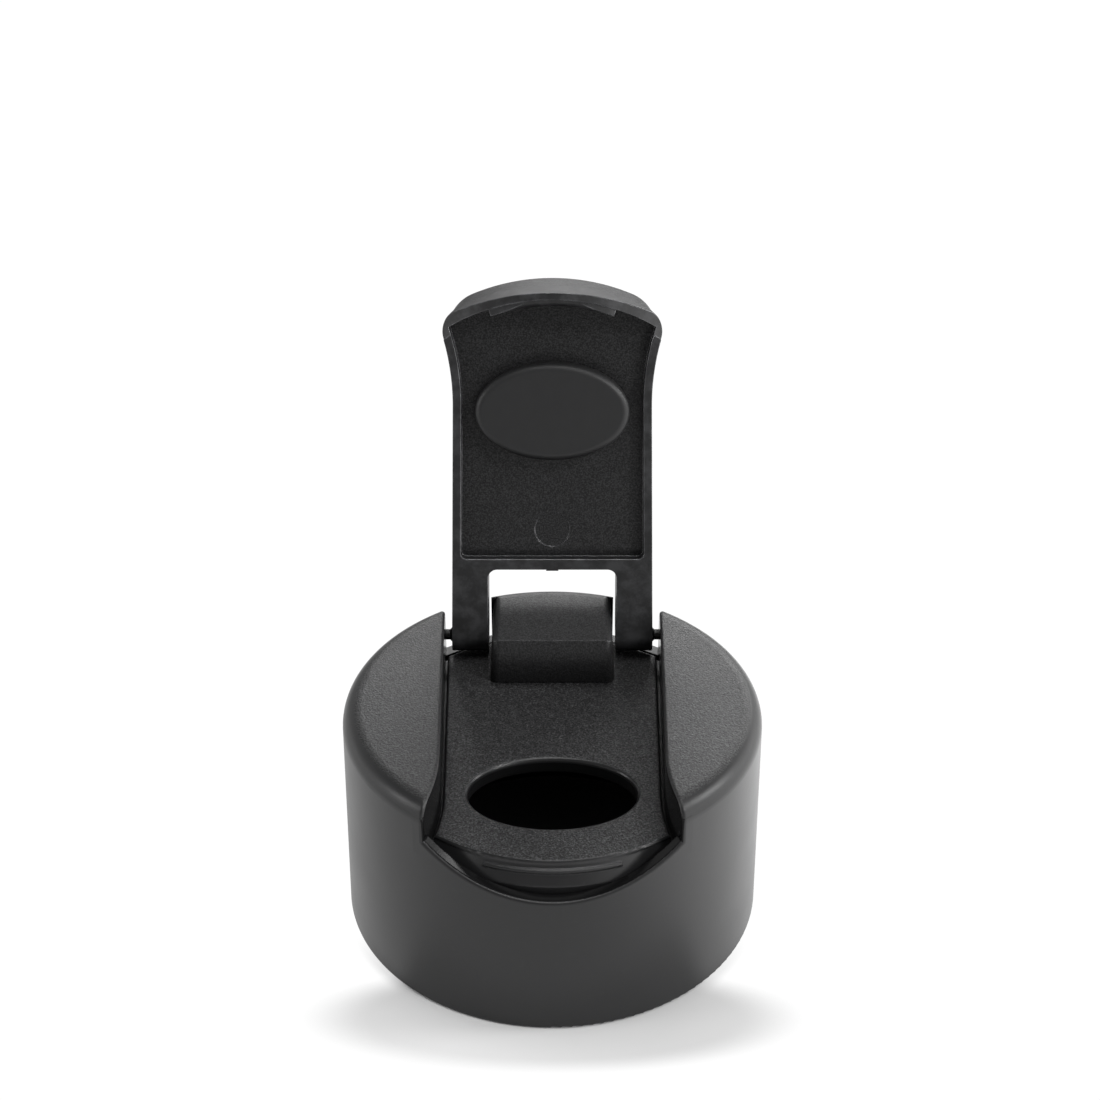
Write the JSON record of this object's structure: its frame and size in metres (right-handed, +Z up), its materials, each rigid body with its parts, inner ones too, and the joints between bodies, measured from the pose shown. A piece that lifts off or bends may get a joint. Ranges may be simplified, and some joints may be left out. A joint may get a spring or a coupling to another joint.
{
  "type": "flip-top drinking cap",
  "caption": "Round black screw-on drinking cap for a wide-neck bottle, with a hinged flip lid whose soft oval plug closes the drinking opening.",
  "frame": {"origin": "centre of the open bottom end, on the cap's axis", "axes": "+Z up along the cap's axis, -Y towards the drinking side, X along the hinge"},
  "size_m": [0.0528, 0.0656, 0.071],
  "materials": {
    "shell_plastic": "fine spark-grained top, satin skirt",
    "base_plastic": "fine spark grain on the floor, satin apron",
    "lid_plastic": "fine grain inside, satin lip",
    "plug_rubber": "smooth satin",
    "gasket_rubber": "smooth matte"
  },
  "bodies": {
    "cap": {"outer_shell": "shell_plastic", "spout_base": "base_plastic", "neck_gasket": "gasket_rubber"},
    "lid": {"flip_lid": "lid_plastic", "lid_plug": "plug_rubber"}
  },
  "joints": [
    {"name": "lid_hinge", "type": "hinge", "parent": "cap", "child": "lid", "pos_m": [0, 0.0198, 0.02595], "axis": [1, 0, 0], "range_deg": [0, 110]}
  ]
}
